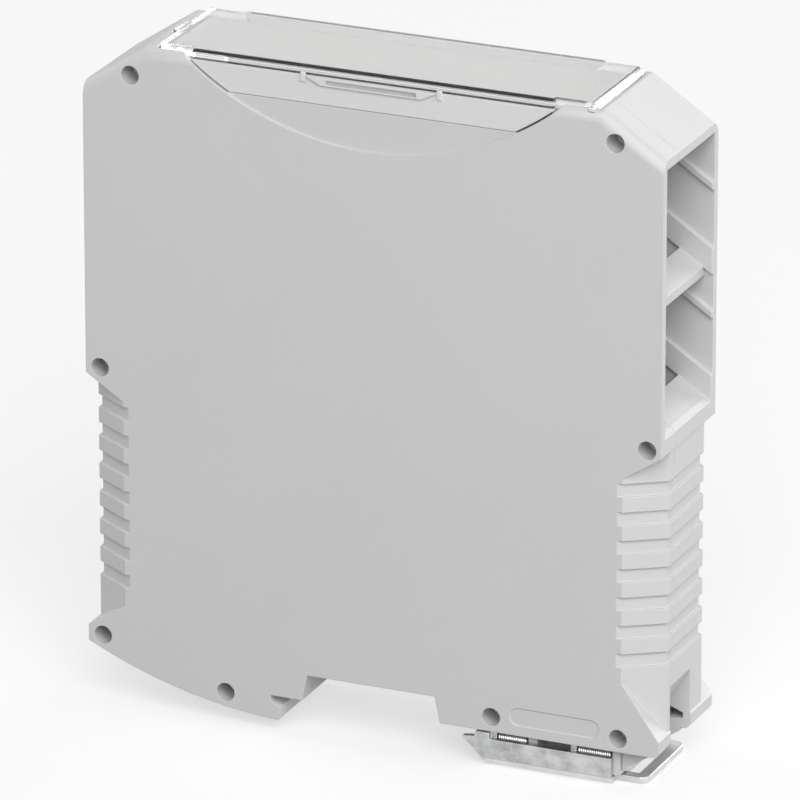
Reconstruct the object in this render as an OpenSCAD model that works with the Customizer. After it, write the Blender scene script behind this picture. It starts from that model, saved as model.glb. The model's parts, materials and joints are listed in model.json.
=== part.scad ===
// Narrow electronics housing that clips on a 35 mm top-hat rail.
// Origin: middle of the rail seat. X runs across the rail, +Z towards the front cover,
// and Y through the thickness, with the side shell towards -Y.

/* [Housing] */
// Width across the rail
body_w = 99; // [96:0.5:108]
// Thickness along the rail
body_t = 22.5; // [21:0.5:35]
// Height of the front rim above the rail seat
front_z = 106.3; // [103:0.1:112]
// Half width of the front rim, between the two chamfers
front_hw = 39; // [38:0.1:41]
// Fall of the chamfers, from the rim to the end walls
corner_drop = 7; // [6.2:0.1:8]
// Moulded wall
wall = 1.3; // [1.1:0.05:1.5]
// Depth of the side shell
side_t = 5.9; // [5.4:0.1:6.6]
// Fine gap where the two shells meet
seam = 0.1; // [0.06:0.02:0.2]
// Rounding of the front edges
edge_r = 2; // [1:0.1:2.4]

/* [Waist] */
// How far the waist steps in from each end
waist_in = 6.5; // [5.5:0.1:7]
// Depth of the waist's bevelled corners
bevel_y = 4.2; // [3.5:0.1:4.8]
// Top of the waist on the side faces
waist_top = 46.2; // [45:0.1:47]
// Rise of the shoulder over the waist, per mm outwards
shoulder_slope = 0.66; // [0.5:0.01:0.7]
// Bottom of the waist on the side faces, at the lug end
waist_low = 11.8; // [11:0.1:13]
// Bottom of the waist on the side faces, at the hook end
waist_low_hook = 11.15; // [10.5:0.1:12]
// Spacing of the grip ribs
rib_pitch = 4.78; // [4.4:0.02:5.2]
// Gap between two ribs
rib_gap = 2.25; // [1.8:0.05:2.6]
// Height of the ribs
rib_d = 0.5; // [0.3:0.05:0.7]
// Number of gaps between ribs
rib_count = 7; // [5:1:7]

/* [Front recess] */
// Radius of the arc cut in the side faces
arc_r = 50; // [49:0.1:52]
// Lowest point of the arc, below the rim
arc_drop = 12.1; // [11:0.1:13]
// Depth of the arc recess below the side face
recess_y = 0.5; // [0.3:0.05:0.6]
// Bottom edge of the front cap's flaps, below the rim
flap_drop = 5.55; // [4.8:0.05:6.3]

/* [Plug bays] */
// Floor of the lower bay at the end face
bay_z = 53.2; // [52.8:0.1:54.5]
// Fall of the bay floors, per mm outwards
bay_slope = 0.66; // [0.55:0.01:0.7]
// Height from one bay to the next
bay_pitch = 21.3; // [20.5:0.1:22]
// Inner end of the bay floors
bay_in = 44; // [43.5:0.1:45]
// Setback of the divider's outer edge from the end face
divider_back = 1.5; // [1:0.1:2.5]
// Height of the keying steps on the side wall
key_h = 0.8; // [0.5:0.05:1]

/* [Rail seat] */
// Width of the rail across its two flanges
rail_w = 35; // [34.6:0.1:35.4]
// Thickness of the rail's flange
rail_t = 1; // [0.9:0.05:1.2]
// How far the hook and the catch reach under the flanges
rail_grip = 1.8; // [1.4:0.1:2.2]
// Height of the hollow over the rail
hollow_h = 4.4; // [3:0.1:5]
// Half width of the hollow at the seat
hollow_low = 12; // [11.5:0.1:12.6]
// Half width of the hollow at its roof
hollow_top = 11.1; // [10:0.1:11.5]
// Radius of the belly curve
belly_r = 85.5; // [82:0.5:90]
// Lowest point of the belly, below the seat
belly_drop = 4.2; // [4:0.1:4.6]
// Place of that lowest point
belly_x = -12; // [-13:0.1:-11]

/* [Joining pegs] */
// Radius of the round holes in the side shell
hole_r = 1.55; // [1.4:0.05:1.7]
// Radial clearance of the pegs in them
peg_gap = 0.1; // [0.06:0.01:0.15]
// Radius of the bosses and posts
boss_r = 2.8; // [2.5:0.05:3]
// Depth at which the pegs end below the side face
peg_depth = 4.2; // [3:0.1:4.8]

/* [Cover] */
// How far the clear cover stands over the rim
cover_proud = 0.7; // [0.5:0.05:1.1]
// Thickness of the clear cover
cover_t = 1.55; // [1.3:0.05:1.7]
// Half width of the clear cover through the thickness
cover_hy = 10.6; // [10.2:0.05:10.8]
// Hinge axis, across the rail
hinge_x = 36.9; // [36.5:0.1:37.1]
// Hinge axis, below the rim
hinge_down = 0.4; // [0.3:0.05:0.45]
// Radius of the hinge pins
pin_r = 0.6; // [0.5:0.02:0.65]
// Radial clearance of the hinge pins
pin_gap = 0.08; // [0.05:0.01:0.1]
// Thickness of the marking plate
label_t = 0.4; // [0.3:0.05:0.45]

/* [Foot catch] */
// Sheet thickness
sheet = 1; // [0.8:0.05:1.1]
// Underside of the catch, below the seat
catch_z = 6; // [5.9:0.05:6.3]
// Setback of the side plates' outer end from the end face
plate_back = 8.3; // [7.9:0.1:8.7]
// Setback of the release tongue's end from the end face
tongue_back = 3.2; // [3:0.1:3.7]
// Half width of the release tongue
tongue_hy = 8.3; // [7.8:0.1:8.6]
// Travel of the catch when it is pulled out
catch_travel = 2.5; // [2.2:0.1:2.9]
// Wire of the catch springs
spring_wire = 0.35; // [0.3:0.01:0.36]
// Mean radius of the catch springs
spring_r = 1; // [0.9:0.02:1.02]
// Running clearance round the catch
catch_gap = 0.3; // [0.25:0.01:0.35]

/* [Hidden] */
$fn = 96;
over = 1;                                   // how far a cut runs past what it cuts
hw = body_w / 2;
ht = body_t / 2;
corner_z = front_z - corner_drop;
arc_low = front_z - arc_drop;
flap_z = front_z - flap_drop;
cover_z = front_z + cover_proud;
hinge_z = front_z - hinge_down;
seam_y = -ht + side_t;                      // plane where the shells meet
plate_y = ht - wall;                        // inner face of a side plate
waist_hw = hw - waist_in;
end_x = hw - 0.2;                           // the ribbed ends lie just inside the corners
rail_hw = rail_w / 2;
hook_x = -(rail_hw - rail_grip);
catch_x = rail_hw - rail_grip;
hook_slant = 0.8;                           // lead-in under the hook's notch
hook_tip = 0.6;                             // height of the hook's blunt tip
toe = 0.8;                                  // chamfer at the lug's toe
chamfer_slope = (front_z - corner_z) / (hw - front_hw);
chamfer_wall = wall * sqrt(1 + chamfer_slope * chamfer_slope);
bay_wall = wall * sqrt(1 + bay_slope * bay_slope);
lug_slope = 1.405;                          // fall of the lug's upper face
hook_end_slope = 0.6;                       // fall of the hook end's upper face
lug_y = [-ht + 5.1, ht - 8.9];              // the space between the two lugs
lug_roof = 10.8;                            // underside of the end wall between the lugs
oval_x = [hw - 24, hw - 11.7];              // bare oval recess over the lug
oval_z = 3.2;
oval_r = 1.5;
oval_d = 0.15;
key_low = 4.2;                              // keying steps, measured up from each bay's floor
key_line = [13.9, 15];
end_pocket_hy = ht - bevel_y - 1.5;         // hollow behind the ribbed ends

// Front opening and what lies in it
front_in_l = -(front_hw - 1.7);             // hook-end strip is wide enough for the cover's snap
front_in_r = front_hw - 0.6;
tab_y = ht - 1.5;                           // inner face of the tabs that carry the hinge pins
flap_y = ht - recess_y;                     // outer face of the flaps and of the arc recess
cover_low = cover_z - cover_t;
cap_rim_z = cover_low - 0.2;
cap_z = cover_low - 1.15;                   // top of the cap's floor
cap_t = 1;
cap_hy = plate_y - 0.5;
cap_gap = 0.3;
shelf_z = cap_z - cap_t - seam;
label_hy = 8.15;
nose_r = hinge_z - cap_z - label_t - 0.3;   // the cover's hinge end clears the marking plate
cover_end_hy = tab_y - 0.35;                // the cover narrows between the tabs
tab_x = sqrt(arc_r * arc_r - pow(arc_low + arc_r - front_z, 2));

// Guide keel under the seat, and the catch that slides on it
plate_end = hw - plate_back;
tongue_end = hw - tongue_back;
plate_out = ht - catch_gap;                 // outer face of the catch's side plates
plate_in = plate_out - sheet;
web_top = -catch_z + sheet;
keel_hy = plate_in - catch_gap;
keel_low = web_top + catch_gap;
keel_t = 1.6;                               // height of the keel's flange
keel_top = keel_low + keel_t;
keel_x = rail_hw + 1.2;
neck_hy = 5.7;
ear_hy = neck_hy + catch_gap;
ear_low = keel_top + 0.25;
ear_top = -0.45;
tab_end = 20.3;                             // the raised tab ends here, and the inner ear begins
outer_ear = plate_end - 7.2;
spring_play = 0.05;
spring_turns = 4;                           // open turns, between one closed turn at each end
spring_facets = 14;
spring_solid = (spring_turns + 3) * spring_wire;
post_x = tab_end + sheet + catch_travel + spring_solid + catch_gap + spring_play; // inner springs' seat
post_t = 1.5;
stop_x = plate_end - 0.2;                   // outer springs' seat
stop_t = 1.2;
slot_x = [plate_end + 0.7, tongue_end - 1.9];
slot_hy = tongue_hy - 1.75;
wedge_slope = 0.655;                        // underside of the ribs that a screwdriver levers on
wedge_zero = 0.7;                           // that line's height at the end face
wedge_y = 8.75;
spring_y = plate_in - catch_gap - spring_r;
spring_z = keel_top + 0.17 + spring_r + spring_wire / 2;

function belly_line(x) = belly_r - belly_drop - sqrt(pow(belly_r, 2) - pow(x - belly_x, 2));

HOLES = [for (side = [-1, 1]) [side * (front_hw + 2.3), corner_z + 2.1],
         for (side = [-1, 1]) [side * (hw - 2.45), waist_top + 5.35],
         for (x = [-hw + 2.5, hook_x - 9.7]) [x, belly_line(x) + 2.4],
         [hollow_low + 8.8, 2.45], [hw - 7, 2.25]];

function bay_floor(x) = bay_z + (hw - x) * bay_slope;
function chamfer_in(x) = front_z - (x - front_hw) * chamfer_slope - chamfer_wall;
function wedge_line(x) = wedge_zero - (hw - x) * wedge_slope;

// A flat outline in X and Z, thick from y0 to y1
module slab(y0, y1) translate([0, y1, 0]) rotate([90, 0, 0]) linear_extrude(y1 - y0) children();

module both_ends() {
    children();
    mirror([1, 0, 0]) children();
}

module both_sides() {
    children();
    mirror([0, 1, 0]) children();
}

module rod(x, z, r, y0, y1) slab(y0, y1) translate([x, z]) circle(r = r);

// Rounds the edge from a to b on the side face at y = -ht
module edge_round(a, b, r) {
    run = b - a;
    translate([a[0], -ht, a[1]]) rotate([0, -atan2(run[1], run[0]), 0]) difference() {
        translate([-over, -over, -r]) cube([norm(run) + 2 * over, r + over, r + over]);
        translate([-over * 2, r, -r]) rotate([0, 90, 0]) cylinder(r = r, h = norm(run) + 4 * over);
    }
}

// Side view of the closed housing
module silhouette() difference() {
    polygon([[-hw, corner_z], [-front_hw, front_z], [front_hw, front_z], [hw, corner_z],
             [hw, toe], [hw - toe, 0], [hollow_low, 0], [hollow_top, hollow_h],
             [-hollow_top, hollow_h], [-hollow_low, 0], [-rail_hw, 0], [-rail_hw, -rail_t],
             [hook_x, -rail_t - hook_slant], [hook_x, hook_tip - belly_drop],
             [hook_x - hook_tip, -belly_drop], [-hw, -belly_drop]]);
    difference() {
        translate([-hw - over, -belly_drop - over])
            square([hw + over + hook_x, 2 * belly_drop + 2 * over + hook_tip]);
        translate([belly_x, belly_r - belly_drop]) circle(r = belly_r, $fn = 192);
    }
}

// Inside of the housing in side view: open at the front and at the plug bays
module cavity() {
    low_in = waist_hw - wall;
    shoulder_in = waist_top + (bay_in - waist_hw) * shoulder_slope + bay_wall;
    polygon([[front_in_r, front_z + over], [front_in_r, chamfer_in(front_in_r)],
             [hw + over, chamfer_in(hw + over)], [hw + over, bay_floor(hw + over)],
             [bay_in, bay_floor(bay_in)], [bay_in, shoulder_in], [low_in, shoulder_in - wall],
             [low_in, wall], [hollow_low + wall, wall], [hollow_top + wall, hollow_h + wall],
             [-hollow_top - wall, hollow_h + wall], [-hollow_low - wall, wall], [-low_in, wall],
             [-low_in, shoulder_in - wall], [-bay_in, shoulder_in], [-bay_in, bay_floor(bay_in)],
             [-hw - over, bay_floor(hw + over)], [-hw - over, chamfer_in(hw + over)],
             [front_in_l, chamfer_in(-front_in_l)], [front_in_l, front_z + over]]);
    intersection() {
        translate([belly_x, belly_r - belly_drop]) circle(r = belly_r - wall, $fn = 192);
        polygon([[-rail_hw - wall, wall + over], [-rail_hw - wall, -belly_drop],
                 [-hw + wall, -belly_drop], [-hw + wall, waist_low_hook - waist_in * hook_end_slope - wall],
                 [-low_in, waist_low_hook - 2 * wall]]);
    }
}

// Plan of the waist, with its four bevelled corners
module waist_plan(inset) {
    slope = bevel_y / (end_x - waist_hw);
    shift = inset / sin(atan(slope));
    x = end_x - inset;
    y = ht - (x - waist_hw + shift) * slope;
    top = waist_hw - shift - over / slope;
    polygon([[x, y], [top, ht + over], [-top, ht + over], [-x, y],
             [-x, -y], [-top, -ht - over], [top, -ht - over], [x, -y]]);
}

module waist_notch(low_z, low_slope) {
    reach = waist_in + over;
    inner = waist_hw - over;
    polygon([[inner, low_z + low_slope * over], [inner, waist_top - over * shoulder_slope],
             [hw + over, waist_top + reach * shoulder_slope], [hw + over, low_z - reach * low_slope]]);
}

// What is cut away outside the waist, and the gaps between the grip ribs
module waist_cut() {
    intersection() {
        slab(-ht - over, ht + over) {
            waist_notch(waist_low, lug_slope);
            mirror([1, 0]) waist_notch(waist_low_hook, hook_end_slope);
        }
        translate([0, 0, -belly_drop]) linear_extrude(waist_top + 3 * waist_in) difference() {
            square([body_w + 4 * over, body_t + 4 * over], center = true);
            waist_plan(0);
        }
    }
    for (i = [0 : rib_count - 1])
        translate([0, 0, waist_top - 0.85 - rib_gap - i * rib_pitch]) linear_extrude(rib_gap) difference() {
            square([body_w + 4 * over, body_t + 4 * over], center = true);
            waist_plan(rib_d);
        }
}

// The arc recess in one side face, open above the flap's lower edge
module arc_disc(gap) translate([0, arc_low + arc_r]) circle(r = arc_r - gap, $fn = 192);

module side_face_cuts() {
    slab(-ht - over, -flap_y) arc_disc(0);
    slab(-ht - over, -plate_y + over) intersection() {
        arc_disc(0);
        translate([-hw, flap_z]) square([body_w, front_z]);
    }
    both_ends() edge_round([front_hw, front_z], [hw, corner_z], edge_r);
    edge_round([-front_hw, front_z], [front_hw, front_z], edge_r);
    rod(hinge_x, hinge_z, pin_r + pin_gap, -plate_y - 0.7, -tab_y + over);
}

// A shell's walls between y0 and y1, solid on the side of its plate
module shell_walls(y0, y1, hollow0, hollow1) difference() {
    slab(y0, y1) silhouette();
    slab(hollow0, hollow1) cavity();
}

module bay_band(low, high, x0, x1)
    polygon([[x0, bay_floor(x0) + low], [x1, bay_floor(x1) + low],
             [x1, bay_floor(x1) + high], [x0, bay_floor(x0) + high]]);

// Divider and keying steps of the plug bays at one end
module bay_parts() {
    slab(-plate_y + seam, plate_y + seam)
        bay_band(bay_pitch - bay_wall, bay_pitch, bay_in, hw - divider_back);
    for (base = [0, bay_pitch]) slab(plate_y - key_h, plate_y + seam) {
        bay_band(base - seam, base + key_low, bay_in - 3, hw);
        bay_band(base + key_line[0], base + key_line[1], bay_in - 3, hw);
    }
}

// Wedge-shaped rib under a lug
module wedge(gap) {
    inner = stop_x + stop_t + gap;
    outer = hw - wedge_zero / wedge_slope - toe;
    polygon([[inner, wall], [outer, wall], [outer, wedge_line(outer)], [inner, wedge_line(inner)]]);
}

// Space between the two lugs, where a screwdriver reaches the catch
module lug_gap() polygon([[hw + over, lug_roof], [hw, lug_roof], [waist_hw, 0],
                          [waist_hw, -belly_drop], [hw + over, -belly_drop]]);

// Guide keel, spring seats and the inner lug's wedge, all under the seat
module keel() {
    top = -seam;
    keel_l = stop_x + stop_t - keel_x;
    slab(seam_y + seam, neck_hy) translate([keel_x, keel_low]) square([keel_l, wall - keel_low]);
    slab(-keel_hy, keel_hy) translate([keel_x, keel_low]) square([keel_l, keel_t]);
    both_sides() slab(neck_hy - over, keel_hy) {
        translate([post_x, keel_low]) square([post_t, top - keel_low]);
        translate([stop_x, keel_low]) square([stop_t, top - keel_low]);
    }
    slab(lug_y[1], wedge_y) wedge(-seam);
}

module main_shell() color("#c9c9c5") difference() {
    union() {
        shell_walls(seam_y + seam / 2, ht, seam_y - over, plate_y);
        both_ends() bay_parts();
        both_ends() slab(seam_y + seam / 2, plate_y + seam)
            polygon([[front_hw - 2.6, shelf_z], [front_hw + 2.4, shelf_z],
                     [front_hw + 2.4, shelf_z - wall], [front_hw - 2.6, shelf_z - wall]]);
        intersection() {
            slab(-ht, ht) silhouette();
            for (h = HOLES) {
                rod(h[0], h[1], boss_r, seam_y + seam / 2, ht);
                rod(h[0], h[1], hole_r - peg_gap, -ht + peg_depth, ht);
            }
        }
        keel();
    }
    waist_cut();
    mirror([0, 1, 0]) side_face_cuts();
    both_ends() translate([waist_hw - wall - seam, -end_pocket_hy, 2 * waist_in])
        cube([end_x - rib_d - waist_hw, 2 * end_pocket_hy, waist_top - 2 * waist_in - wall]);
    slab(lug_y[0], lug_y[1]) lug_gap();
    slab(lug_y[1] - over, plate_y)
        polygon([[hw - 4.9, wall], [hw - 3.8, 3.5], [hw - 1.4, 2.6], [hw - 1.4, wall + 0.3]]);
    translate([front_in_l - 0.9, -2.6, hinge_z - 0.5]) cube([0.9 + over, 5.2, 2 * over]);
}

module side_shell() color("#cfcfcb") difference() {
    union() {
        shell_walls(-ht, seam_y - seam / 2, -plate_y, seam_y + over);
        intersection() {
            slab(-ht, ht) silhouette();
            for (h = HOLES) rod(h[0], h[1], boss_r, -ht, seam_y - seam / 2);
        }
        slab(-wedge_y, -wedge_y + wall) wedge(seam);
    }
    waist_cut();
    side_face_cuts();
    for (h = HOLES) rod(h[0], h[1], hole_r, -ht - over, seam_y + over);
    slab(lug_y[0], seam_y + over) lug_gap();
    slab(-ht - over, -ht + oval_d) {
        translate([oval_x[0], oval_z - oval_r]) square([oval_x[1] - oval_x[0], 2 * oval_r]);
        for (x = oval_x) translate([x, oval_z]) circle(r = oval_r);
    }
}

// Front panel: a floor for the marking plate, raised rims, and a flap down each side
module front_cap() color("#c4c4c0") {
    difference() {
        union() {
            translate([front_in_l + cap_gap, -cap_hy, cap_z - cap_t])
                cube([front_in_r - front_in_l - 2 * cap_gap, 2 * cap_hy, cap_t]);
            both_sides() difference() {
                slab(-flap_y, -label_hy) intersection() {
                    arc_disc(cap_gap);
                    translate([-hw, flap_z + seam]) square([body_w, cap_rim_z - flap_z - seam]);
                }
                translate([-hw, -flap_y + 1, 0]) cube([body_w, flap_y, cap_z - cap_t]);
                translate([0, -label_hy - seam, cap_z + 1.8]) rotate([0, 90, 0])
                    cylinder(r = 1.8, h = body_w, center = true);
            }
            both_sides() slab(-flap_y - 0.4, -flap_y + seam)
                polygon([[-11, cap_rim_z], [11, cap_rim_z], [8.6, cap_rim_z - 1.2], [-8.6, cap_rim_z - 1.2]]);
        }
        both_sides() slab(-ht - over, -flap_y + 0.4) translate([-7.7, cap_rim_z - 1]) square([15.4, 0.75]);
    }
}

module label_insert() color("#a9aaa6")
    translate([front_in_l + 1, -label_hy + seam, cap_z])
        cube([front_in_r - front_in_l - 1.9, 2 * (label_hy - seam), label_t]);

// Clear cover with its hinge nose and pins, and a snap at the other end
module clear_cover() color("#dfe8e4", 0.4) {
    wide_hx = tab_x - 2;
    end_l = front_in_l + 0.7;
    difference() {
        union() {
            translate([-wide_hx, -cover_hy, cover_low]) cube([2 * wide_hx, 2 * cover_hy, cover_t]);
            translate([end_l, -cover_end_hy, cover_low]) cube([hinge_x - end_l, 2 * cover_end_hy, cover_t]);
            rod(hinge_x, hinge_z, nose_r, -cover_end_hy, cover_end_hy);
            rod(hinge_x, hinge_z, pin_r, -plate_y - 0.5, plate_y + 0.5);
            translate([end_l - 1.3, -2.2, hinge_z]) cube([1.3 + over, 4.4, cover_z - hinge_z - 0.3]);
        }
        both_sides() translate([0, ht - cover_hy, cover_z - front_z])
            edge_round([-wide_hx, front_z], [wide_hx, front_z], 0.6);
    }
}

// Bent sheet: two side plates with inward ears, a web and a slotted release tongue
module foot_catch() color("#b9bcbc") difference() {
    union() {
        both_sides() {
            slab(-plate_out, -plate_in)
                polygon([[catch_x, -rail_t - 0.6], [keel_x - 0.9, -rail_t - 0.35], [keel_x - 0.7, ear_top],
                         [tab_end, ear_top], [tab_end, -1.5], [plate_end, -1.5], [plate_end, -catch_z],
                         [tab_end, -catch_z]]);
            for (x = [tab_end, outer_ear]) translate([x, -plate_in - seam, ear_low])
                cube([sheet, plate_in + seam - ear_hy, ear_top - ear_low]);
        }
        translate([tab_end, -plate_out, -catch_z]) cube([plate_end - tab_end, 2 * plate_out, sheet]);
        translate([plate_end - over, -tongue_hy, -catch_z])
            cube([tongue_end - plate_end + over, 2 * tongue_hy, sheet]);
    }
    translate([slot_x[0], -slot_hy, -catch_z - over])
        cube([slot_x[1] - slot_x[0], 2 * slot_hy, sheet + 2 * over]);
    both_sides() translate([0, plate_out, -catch_z]) rotate([180, 0, 0]) translate([0, ht, -front_z])
        edge_round([tab_end - over, front_z], [plate_end + over, front_z], 1.2 * sheet);
    both_sides() translate([tongue_end, -tongue_hy, -catch_z - over]) difference() {
        translate([-1.5, -over, 0]) cube([1.5 + over, 1.5 + over, sheet + 2 * over]);
        translate([-1.5, 1.5, -over]) cylinder(r = 1.5, h = sheet + 4 * over);
    }
}

// Compression spring along +X from the origin, with one closed turn at each end
module coil_spring(length) {
    closed = 1.05 * spring_wire;
    open = (length - spring_wire - 2 * closed) / spring_turns;
    turns = spring_turns + 2;
    rings = turns * spring_facets;
    sides = 8;
    function along(t) = spring_wire / 2 + closed * min(t, 1) + open * min(max(t - 1, 0), spring_turns)
                        + closed * max(t - 1 - spring_turns, 0);
    points = [for (i = [0 : rings]) let (t = i / spring_facets) for (k = [0 : sides - 1])
        let (r = spring_r + spring_wire / 2 * cos(k * 360 / sides))
        [along(t) + spring_wire / 2 * sin(k * 360 / sides), r * sin(t * 360), r * cos(t * 360)]];
    tube = [for (i = [0 : rings - 1], k = [0 : sides - 1])
        let (a = i * sides + k, b = i * sides + (k + 1) % sides) [a, b, b + sides, a + sides]];
    polyhedron(points, concat(tube, [[for (k = [sides - 1 : -1 : 0]) k],
                                     [for (k = [0 : sides - 1]) rings * sides + k]]), convexity = 6);
}

module catch_spring(side, x0, x1) color("#d8dada")
    translate([x0 + spring_play, side * spring_y, spring_z]) coil_spring(x1 - x0 - 2 * spring_play);

module catch_spring_near_inner() catch_spring(-1, tab_end + sheet, post_x);
module catch_spring_near_outer() catch_spring(-1, outer_ear + sheet, stop_x);
module catch_spring_far_inner() catch_spring(1, tab_end + sheet, post_x);
module catch_spring_far_outer() catch_spring(1, outer_ear + sheet, stop_x);

main_shell();
side_shell();
front_cap();
label_insert();
clear_cover();
foot_catch();
catch_spring_near_inner();
catch_spring_near_outer();
catch_spring_far_inner();
catch_spring_far_outer();
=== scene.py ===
import json
import math

import bmesh
import bpy
from mathutils import Matrix, Vector


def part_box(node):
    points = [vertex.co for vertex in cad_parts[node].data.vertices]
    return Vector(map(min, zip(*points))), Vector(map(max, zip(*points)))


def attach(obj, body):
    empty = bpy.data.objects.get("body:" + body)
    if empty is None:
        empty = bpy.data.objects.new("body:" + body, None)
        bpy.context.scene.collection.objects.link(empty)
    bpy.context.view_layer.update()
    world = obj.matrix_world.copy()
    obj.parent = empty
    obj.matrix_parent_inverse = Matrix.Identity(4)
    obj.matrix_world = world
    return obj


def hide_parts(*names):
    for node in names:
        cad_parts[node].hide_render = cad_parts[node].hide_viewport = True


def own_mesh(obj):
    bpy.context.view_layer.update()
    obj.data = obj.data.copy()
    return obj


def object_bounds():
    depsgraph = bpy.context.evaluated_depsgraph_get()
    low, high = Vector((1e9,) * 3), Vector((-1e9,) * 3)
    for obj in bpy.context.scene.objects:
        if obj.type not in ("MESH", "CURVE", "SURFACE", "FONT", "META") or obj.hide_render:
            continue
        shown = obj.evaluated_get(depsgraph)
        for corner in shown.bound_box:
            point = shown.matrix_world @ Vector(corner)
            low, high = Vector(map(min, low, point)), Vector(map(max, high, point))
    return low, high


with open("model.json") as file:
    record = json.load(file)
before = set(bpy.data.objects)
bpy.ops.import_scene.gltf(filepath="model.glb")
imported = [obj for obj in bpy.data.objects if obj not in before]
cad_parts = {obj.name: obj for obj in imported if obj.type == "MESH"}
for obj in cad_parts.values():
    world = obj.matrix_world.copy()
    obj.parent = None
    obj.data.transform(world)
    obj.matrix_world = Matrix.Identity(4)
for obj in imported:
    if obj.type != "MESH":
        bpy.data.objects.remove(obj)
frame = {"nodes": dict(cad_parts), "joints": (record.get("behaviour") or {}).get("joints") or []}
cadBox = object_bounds()
mm = 0.001
print("frame loaded:", len(frame["nodes"]), "nodes")


class Wire:
    # a node's output that can stand in plain sums
    def __init__(self, desk, socket):
        self.desk = desk
        self.socket = socket

    def sum(self, operation, first, second):
        return self.desk.add("ShaderNodeMath", {"operation": operation}, {0: first, 1: second})

    def __add__(self, other):
        return self.sum("ADD", self, other)

    def __radd__(self, other):
        return self.sum("ADD", other, self)

    def __sub__(self, other):
        return self.sum("SUBTRACT", self, other)

    def __rsub__(self, other):
        return self.sum("SUBTRACT", other, self)

    def __mul__(self, other):
        return self.sum("MULTIPLY", self, other)

    def size(self):
        return self.sum("ABSOLUTE", self, 0)

    def between(self, low, high):
        # 0 at low, 1 at high, clipped
        return self.desk.add("ShaderNodeMapRange", {"clamp": True}, {0: self, 1: low, 2: high})


class Desk:
    # the node tree of one material or of the world, built node by node
    def __init__(self, owner):
        owner.use_nodes = True
        self.owner = owner
        self.tree = owner.node_tree
        self.tree.nodes.clear()

    def add(self, kind, settings=None, inputs=None, output=0):
        node = self.tree.nodes.new(kind)
        for key, value in (settings or {}).items():
            setattr(node, key, value)
        for key, value in (inputs or {}).items():
            if isinstance(value, Wire):
                self.tree.links.new(value.socket, node.inputs[key])
            else:
                node.inputs[key].default_value = value
        return Wire(self, node.outputs[output]) if len(node.outputs) else None

    def place(self):
        return self.add("ShaderNodeTexCoord", output="Object")

    def axis(self, vector, index):
        return self.add("ShaderNodeSeparateXYZ", None, {0: vector}, output=index)

    def noise(self, vector, scale, detail=2, rough=0.5):
        return self.add("ShaderNodeTexNoise", None,
                        {"Vector": vector, "Scale": scale, "Detail": detail, "Roughness": rough})

    def stretched(self, vector, factors):
        return self.add("ShaderNodeMapping", None, {0: vector, 3: factors})

    def tint(self, amount, first, second):
        return self.add("ShaderNodeMix", {"data_type": "RGBA"}, {0: amount, 6: first, 7: second}, output=2)

    def softEdge(self, radius):
        return self.add("ShaderNodeBevel", {"samples": 6}, {"Radius": radius})

    def edgeMask(self, rounded, low, high):
        # 1 on the sharp edges that the rounding bends
        flat = self.add("ShaderNodeNewGeometry", output="True Normal")
        facing = self.add("ShaderNodeVectorMath", {"operation": "DOT_PRODUCT"}, {0: rounded, 1: flat},
                          output="Value")
        return (1 - facing).between(low, high)

    def seenDirectly(self):
        # 1 for what the camera, metal and glass show, 0 for what lights the object
        camera = self.add("ShaderNodeLightPath", output="Is Camera Ray")
        glossy = self.add("ShaderNodeLightPath", output="Is Glossy Ray")
        through = self.add("ShaderNodeLightPath", output="Is Transmission Ray")
        return (camera + glossy + through).between(0, 1)

    def finish(self, shader, output="ShaderNodeOutputMaterial"):
        self.add(output, None, {0: shader})
        return self.owner


def newDesk(name):
    return Desk(bpy.data.materials.new(name))


def grey(value, warm=0.0):
    return (value * (1 + warm), value, value * (1 - warm), 1)


def shade(tone, factor):
    return [channel * factor for channel in tone[:3]] + [1]


# how the moulded surface varies: noise scales, strongest shift of tone, and the painted highlight along the
# edges
moulding = {"cloud": 38, "speck": 900, "fine": 2300, "coarse": 650, "cloudTone": 0.985, "speckTone": 0.93,
            "speckShare": 0.12, "edgeHighlightShare": 0.7, "edgeRadius": 0.18 * mm, "depth": 0.03 * mm}
capWellShade = {"edge": 10.25 * mm, "tone": 0.30}    # the cap's well round the marking plate, under the cover, painted dark as painted shade


def mouldedPlastic(name, tone, edgeHighlightTone, roughness, grain, wellShade=None):
    desk = newDesk(name)
    place = desk.place()
    cloud = desk.noise(place, moulding["cloud"], 3)
    speck = desk.noise(place, moulding["speck"], 3, 0.6)
    rounded = desk.softEdge(moulding["edgeRadius"])
    edge = desk.edgeMask(rounded, 0.015, 0.22)
    body = desk.tint(cloud.between(0.35, 0.65), shade(tone, moulding["cloudTone"]), tone)
    body = desk.tint(speck.between(0.3, 0.75) * moulding["speckShare"], body,
                     shade(tone, moulding["speckTone"]))
    # painted highlight: the sharp edges are lightened towards the edge tone, standing in for light caught on
    # their rounding
    body = desk.tint(edge * moulding["edgeHighlightShare"], body, edgeHighlightTone)
    # painted shade: inside the well, under the cover, the cap is painted dark grey
    if wellShade:
        outside = desk.axis(place, 1).size().between(wellShade["edge"] - 0.1 * mm, wellShade["edge"])
        body = desk.tint(outside, grey(wellShade["tone"]), body)
    height = desk.noise(place, moulding["fine"], 3, 0.6) + desk.noise(place, moulding["coarse"], 2) * 0.5
    normal = desk.add("ShaderNodeBump", None, {"Strength": grain, "Distance": moulding["depth"],
                                               "Height": height, "Normal": rounded})
    shine = roughness - 0.05 + cloud * 0.06 + speck * 0.05
    return desk.finish(desk.add("ShaderNodeBsdfPrincipled", None,
                                {"Base Color": body, "Roughness": shine, "Normal": normal, "IOR": 1.49}))


zinc = {"blot": 260, "fleck": 1500, "streak": (60, 900, 900), "edgeRadius": 0.25 * mm, "depth": 0.02 * mm}
zincBendHighlight = {"top": -4.75 * mm, "fade": 0.15 * mm}    # painted highlight on the band below the bend, where the sheet faces more upward


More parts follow.
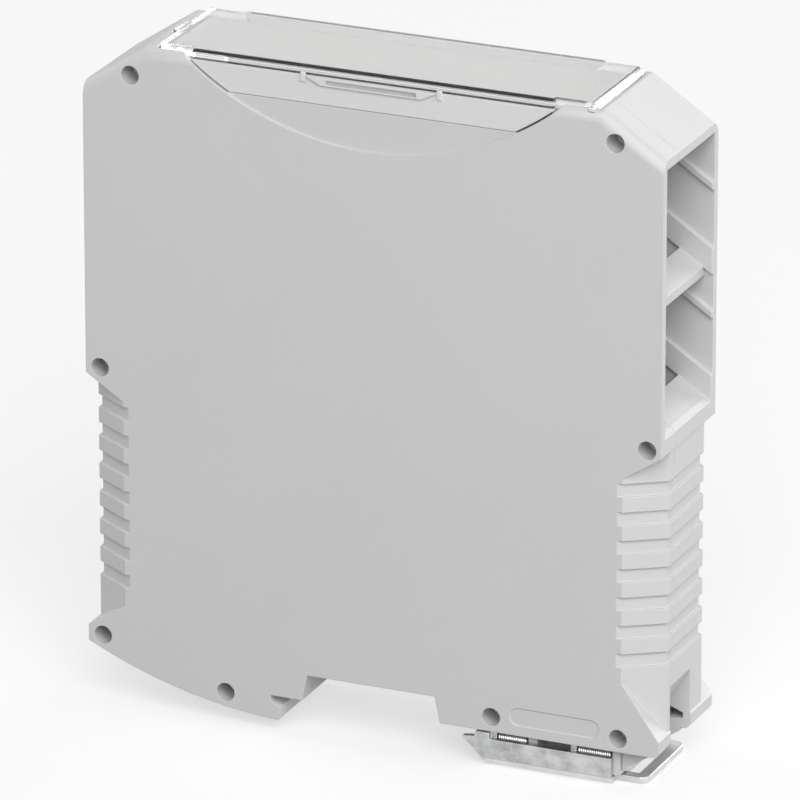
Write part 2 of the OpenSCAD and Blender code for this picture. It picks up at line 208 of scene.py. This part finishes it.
def zincSheet(name):
    desk = newDesk(name)
    place = desk.place()
    blot = desk.noise(place, zinc["blot"], 4, 0.65)
    fleck = desk.noise(place, zinc["fleck"], 3, 0.6)
    streak = desk.noise(desk.stretched(place, zinc["streak"]), 1, 4, 0.6)
    rounded = desk.softEdge(zinc["edgeRadius"])
    edge = desk.edgeMask(rounded, 0.02, 0.3)
    body = desk.tint(blot.between(0.36, 0.64), (0.37, 0.38, 0.375, 1), (0.60, 0.61, 0.60, 1))
    body = desk.tint(fleck.between(0.5, 0.7) * 0.3, body, (0.70, 0.71, 0.70, 1))
    body = desk.tint(streak.between(0.45, 0.7) * 0.3, body, (0.74, 0.75, 0.73, 1))
    height = desk.axis(place, 2)
    # painted highlight on the band below the bend, and painted shade as a dark line along the crease
    bendHighlight = 1 - height.between(zincBendHighlight["top"], zincBendHighlight["top"] + zincBendHighlight["fade"])
    creaseShade = 1 - (height - zincBendHighlight["top"]).size().between(0.02 * mm, 0.12 * mm)
    body = desk.tint(bendHighlight * 0.5, body, (0.84, 0.85, 0.84, 1))
    body = desk.tint(creaseShade * 0.6, body, (0.25, 0.26, 0.255, 1))
    # painted highlight: the sheet's edges are lightened
    body = desk.tint(edge * 0.6, body, (0.88, 0.89, 0.88, 1))
    normal = desk.add("ShaderNodeBump", None, {"Strength": 0.3, "Distance": zinc["depth"],
                                               "Height": streak + blot, "Normal": rounded})
    shine = 0.28 + blot * 0.18 + streak * 0.08
    return desk.finish(desk.add("ShaderNodeBsdfPrincipled", None,
                                {"Base Color": body, "Metallic": 1, "Roughness": shine, "Normal": normal}))


def springSteel(name):
    desk = newDesk(name)
    drawn = desk.noise(desk.place(), 2600, 2)
    body = desk.tint(drawn.between(0.3, 0.7), (0.62, 0.62, 0.61, 1), (0.86, 0.86, 0.84, 1))
    return desk.finish(desk.add("ShaderNodeBsdfPrincipled", None,
                                {"Base Color": body, "Metallic": 1, "Roughness": 0.2 + drawn * 0.12}))


# painted shade: fine dark lines along the cover's long edges stand for grooves, and under them a dark painted
# shadow line stands for the gap between cover and cap
coverRim = {"inner": 10.2 * mm, "pitch": 0.34 * mm, "low": 105.45 * mm, "line": 0.34 * mm}


def clearPlastic(name):
    desk = newDesk(name)
    place = desk.place()
    haze = desk.noise(place, 160, 3)
    outward = desk.axis(place, 1).size().between(coverRim["inner"], coverRim["inner"] + 0.1 * mm)
    height = desk.axis(place, 2)
    # painted shade: dark lines at a fixed pitch for the grooves, then a near-black painted shadow for the gap
    # under the rim
    paintedGrooveShade = desk.add("ShaderNodeMath", {"operation": "PINGPONG"}, {0: height, 1: coverRim["pitch"] / 2})
    paintedGrooveShade = 1 - paintedGrooveShade.between(0.03 * mm, 0.08 * mm)
    paintedGapShadow = 1 - (height - coverRim["low"]).between(coverRim["line"] * 0.8, coverRim["line"])
    body = desk.tint(outward * paintedGrooveShade, grey(0.955, 0.003), grey(0.30))
    body = desk.tint(outward * paintedGapShadow, body, grey(0.02))
    rounded = desk.softEdge(0.12 * mm)
    normal = desk.add("ShaderNodeBump", None, {"Strength": 0.05, "Distance": 0.01 * mm,
                                               "Height": haze, "Normal": rounded})
    solid = desk.add("ShaderNodeBsdfPrincipled", None,
                     {"Base Color": body, "Roughness": 0.03 + haze * 0.06, "IOR": 1.5,
                      "Specular IOR Level": 0.25, "Transmission Weight": 1.0, "Normal": normal})
    through = desk.add("ShaderNodeBsdfTransparent", None, {0: (0.92, 0.922, 0.918, 1)})
    shadow = desk.add("ShaderNodeLightPath", output="Is Shadow Ray")
    return desk.finish(desk.add("ShaderNodeMixShader", None, {0: shadow, 1: solid, 2: through}))


finishes = {
    # each moulded finish's second grey is its painted edge highlight
    "housing": mouldedPlastic("housing_plastic", grey(0.575, 0.006), grey(0.80, 0.004), 0.50, 0.22),
    "cap": mouldedPlastic("cap_plastic", grey(0.66, 0.004), grey(0.82, 0.004), 0.46, 0.16, capWellShade),
    "marking": mouldedPlastic("marking_plate", grey(0.33, 0.002), grey(0.45), 0.42, 0.12),
    "pad": mouldedPlastic("pad_mark", grey(0.16), grey(0.3), 0.4, 0.1),
    "clear": clearPlastic("clear_plastic"),
    "zinc": zincSheet("zinc_sheet"),
    "spring": springSteel("spring_wire"),
}
print("finishes made:", len(finishes))


def finishPiece(name, mesh, body, finish, replaced=()):
    piece = bpy.data.objects.new(name, mesh)
    bpy.context.scene.collection.objects.link(piece)
    piece.data.materials.clear()
    piece.data.materials.append(finishes[finish])
    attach(piece, body)
    if replaced:
        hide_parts(*replaced)
    return piece


def meshFrom(work, name):
    mesh = bpy.data.meshes.new(name)
    work.to_mesh(mesh)
    work.free()
    return mesh


joinUp = {"merge": 0.001 * mm, "sharpAngle": 24}    # shared by the copies and the springs


def smoothCopy(node, name, body, slot, finish):
    # the solid's own faces, joined up so that round stretches shade smoothly
    work = bmesh.new()
    work.from_mesh(frame["nodes"][node].data)
    bmesh.ops.remove_doubles(work, verts=work.verts, dist=joinUp["merge"])
    for face in work.faces:
        face.smooth = True
    for edge in work.edges:
        edge.smooth = len(edge.link_faces) == 2 and edge.calc_face_angle(0) < math.radians(
            joinUp["sharpAngle"])
    piece = finishPiece(name, meshFrom(work, name), body, finish, [node])
    weigh = piece.modifiers.new("even_shading", "WEIGHTED_NORMAL")
    weigh.keep_sharp = True
    weigh.weight = 100
    return piece


dressedNodes = [
    ("main_shell", "main_shell_moulding", "housing", "housing_plastic", "housing"),
    ("side_shell", "side_shell_moulding", "housing", "housing_plastic", "housing"),
    ("front_cap", "front_cap_moulding", "housing", "housing_plastic", "cap"),
    ("label_insert", "marking_plate_strip", "housing", "marking_plate", "marking"),
    ("clear_cover", "clear_cover_moulding", "cover", "clear_plastic", "clear"),
    ("foot_catch", "foot_catch_sheet", "catch", "zinc_sheet", "zinc"),
]
for dressed in dressedNodes:
    smoothCopy(*dressed)
print("mouldings and sheet dressed:", len(dressedNodes))

coil = {"wire": 0.34 * mm, "turns": 12, "closedTurns": 1.5, "stepsPerTurn": 24, "sides": 8}
catchTravel = next(joint for joint in frame["joints"] if joint["name"] == "catch_slide")["range_m"][1]


def coilSpring(node, name):
    low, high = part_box(node)
    wire = coil["wire"]
    axisY = (low.y + high.y) / 2
    axisZ = (low.z + high.z) / 2
    radius = (high.z - low.z - wire) / 2
    closedPitch = 1.06 * wire
    openPitch = (high.x - low.x - wire - 2 * coil["closedTurns"] * closedPitch) / coil["turns"]
    work = bmesh.new()
    ring = bmesh.ops.create_circle(work, cap_ends=False, radius=wire / 2, segments=coil["sides"])
    start = (Matrix.Translation((low.x + wire / 2, axisY, axisZ + radius))
             @ Matrix.Rotation(math.radians(90), 4, "X"))
    bmesh.ops.transform(work, matrix=start, verts=ring["verts"])
    bmesh.ops.contextual_create(work, geom=work.edges[:])
    profile = work.verts[:] + work.edges[:]
    for turns, pitch in ((coil["closedTurns"], closedPitch), (coil["turns"], openPitch),
                         (coil["closedTurns"], closedPitch)):
        made = bmesh.ops.spin(work, geom=profile, cent=(0, axisY, axisZ), axis=(1, 0, 0),
                              dvec=(pitch / coil["stepsPerTurn"], 0, 0), angle=math.radians(360 * turns),
                              steps=int(turns * coil["stepsPerTurn"]), use_duplicate=False)
        profile = [part for part in made["geom_last"] if not isinstance(part, bmesh.types.BMFace)]
    bmesh.ops.contextual_create(work, geom=[part for part in profile if isinstance(part, bmesh.types.BMEdge)])
    bmesh.ops.remove_doubles(work, verts=work.verts, dist=joinUp["merge"])
    bmesh.ops.recalc_face_normals(work, faces=work.faces)
    for face in work.faces:
        face.smooth = True
    piece = finishPiece(name, meshFrom(work, name), "housing", "spring", [node])
    length = high.x - low.x
    (length - catchTravel) / length
    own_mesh(piece)


for side in ("near", "far"):
    for end in ("inner", "outer"):
        coilSpring(f"catch_spring_{side}_{end}", f"spring_{side}_{end}")
print("springs wound")

pad = {"length": 15.2 * mm, "width": 3.8 * mm, "corner": 1.0 * mm, "line": 0.13 * mm, "rise": 0.03 * mm,
       "fromHinge": 1.4 * mm, "dot": 0.14 * mm,
       "dots": ((-0.9, 2.6), (0.1, 2.0), (0.8, 3.0), (-0.5, 1.1), (0.5, 0.6), (-0.9, -0.2), (0.2, -0.9),
                (0.8, 1.4), (-0.3, -1.8))}


def coverPad():
    # the outlined grip pad at the hinged end of the cover, with its moulding dots
    low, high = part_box("clear_cover")
    middle = Vector((high.x - pad["fromHinge"] - pad["width"] / 2, (low.y + high.y) / 2, high.z))
    work = bmesh.new()
    bmesh.ops.create_grid(work, x_segments=1, y_segments=1, size=0.5)
    bmesh.ops.scale(work, vec=(pad["width"], pad["length"], 1), verts=work.verts)
    bmesh.ops.bevel(work, geom=work.verts[:], offset=pad["corner"], offset_type="OFFSET", segments=6,
                    profile=0.5, affect="VERTICES", material=-1)
    bmesh.ops.inset_region(work, faces=work.faces[:], thickness=pad["line"], use_even_offset=True)
    inner = max(work.faces, key=lambda face: face.calc_area())
    bmesh.ops.delete(work, geom=[inner], context="FACES")
    bmesh.ops.solidify(work, geom=work.faces[:], thickness=pad["rise"])
    for x, y in pad["dots"]:
        spot = (Matrix.Translation((x * mm, y * mm, 0)) @ Matrix.Diagonal((1, 1, 0.3, 1)))
        bmesh.ops.create_icosphere(work, subdivisions=1, radius=pad["dot"], matrix=spot)
    bmesh.ops.translate(work, vec=middle, verts=work.verts)
    bmesh.ops.recalc_face_normals(work, faces=work.faces)
    finishPiece("cover_pad_outline", meshFrom(work, "cover_pad_outline"), "cover", "pad")


coverPad()
print("cover pad marked")

lug = {"x": 11.6 * mm, "width": 0.9 * mm, "inner": 10.68 * mm, "outer": 11.05 * mm, "low": 104.3 * mm,
       "high": 105.85 * mm, "soft": 0.12 * mm}


def guideLugs():
    # small lugs on the cap beside the finger grips, reaching up past the cover's edge
    work = bmesh.new()
    made = bmesh.ops.create_cube(work, size=1)
    bmesh.ops.scale(work, vec=(lug["width"], lug["outer"] - lug["inner"], lug["high"] - lug["low"]),
                    verts=made["verts"])
    bmesh.ops.bevel(work, geom=work.edges[:], offset=lug["soft"], offset_type="OFFSET", segments=2,
                    profile=0.5, affect="EDGES", material=-1)
    bmesh.ops.translate(work, vec=(lug["x"], -(lug["inner"] + lug["outer"]) / 2,
                                   (lug["low"] + lug["high"]) / 2), verts=work.verts)
    for axis in ("X", "Y"):
        bmesh.ops.mirror(work, geom=work.verts[:] + work.edges[:] + work.faces[:], axis=axis,
                         merge_dist=0)
    bmesh.ops.recalc_face_normals(work, faces=work.faces)
    finishPiece("cap_guide_lugs", meshFrom(work, "cap_guide_lugs"), "housing", "cap")


guideLugs()
print("guide lugs added")

floorPlan = {"drop": 0.2 * mm, "half": 6, "seen": 0.93, "bounce": 0.40, "glow": 0.6}
work = bmesh.new()
bmesh.ops.create_grid(work, x_segments=1, y_segments=1, size=floorPlan["half"])
floor = bpy.data.objects.new("floor", meshFrom(work, "floor"))
floor.location = (0, 0, cadBox[0].z - floorPlan["drop"])
bpy.context.scene.collection.objects.link(floor)
desk = newDesk("floor_paper")
bounce = desk.add("ShaderNodeBsdfDiffuse", None, {0: grey(floorPlan["bounce"])})
paper = desk.add("ShaderNodeBsdfDiffuse", None, {0: grey(floorPlan["seen"])})
glow = desk.add("ShaderNodeEmission", None, {0: grey(1), 1: 1.0})
lit = desk.add("ShaderNodeMixShader", None, {0: floorPlan["glow"], 1: paper, 2: glow})
floor.data.materials.append(desk.finish(
    desk.add("ShaderNodeMixShader", None, {0: desk.seenDirectly(), 1: bounce, 2: lit})))

skyLevel = 0.32
world = bpy.data.worlds.new("studio")
bpy.context.scene.world = world
desk = Desk(world)
fill = desk.add("ShaderNodeBackground", None, {0: grey(1), 1: skyLevel})
white = desk.add("ShaderNodeBackground", None, {0: grey(1), 1: 1.0})
desk.finish(desk.add("ShaderNodeMixShader", None, {0: desk.seenDirectly(), 1: fill, 2: white}),
            "ShaderNodeOutputWorld")

softBoxes = [
    {"name": "key_box", "place": (0.6, -1.05, 1.0), "size": 1.1, "power": 21},
    {"name": "side_box", "place": (1.45, -0.2, 0.4), "size": 0.9, "power": 6},
    {"name": "back_box", "place": (0.7, 1.6, 0.5), "size": 0.9, "power": 14},
    {"name": "left_box", "place": (-1.8, 0.4, 0.5), "size": 0.8, "power": 9},
]
lampAim = Vector((0, 0, 0.05))
for box in softBoxes:
    lamp = bpy.data.lights.new(box["name"], "AREA")
    lamp.shape = "SQUARE"
    lamp.size = box["size"]
    lamp.energy = box["power"]
    holder = bpy.data.objects.new(box["name"], lamp)
    holder.location = box["place"]
    holder.rotation_euler = (lampAim - Vector(box["place"])).to_track_quat("-Z", "Y").to_euler()
    bpy.context.scene.collection.objects.link(holder)

cameraPlan = {"azimuth": 23.5, "elevation": 20.5, "distance": 1.6, "lens": 454, "sensor": 36,
              "aim": (0.0002, 0.0, 0.0492)}
azimuth = math.radians(cameraPlan["azimuth"])
elevation = math.radians(cameraPlan["elevation"])
back = Vector((math.sin(azimuth) * math.cos(elevation), -math.cos(azimuth) * math.cos(elevation),
               math.sin(elevation)))
cameraData = bpy.data.cameras.new("camera")
cameraData.sensor_width = cameraPlan["sensor"]
cameraData.lens = cameraPlan["lens"]
cameraData.clip_end = 20
camera = bpy.data.objects.new("camera", cameraData)
camera.location = Vector(cameraPlan["aim"]) + back * cameraPlan["distance"]
camera.rotation_euler = (-back).to_track_quat("-Z", "Y").to_euler()
bpy.context.scene.collection.objects.link(camera)
bpy.context.scene.camera = camera
bpy.context.scene.view_settings.view_transform = "Standard"
print("stage ready")
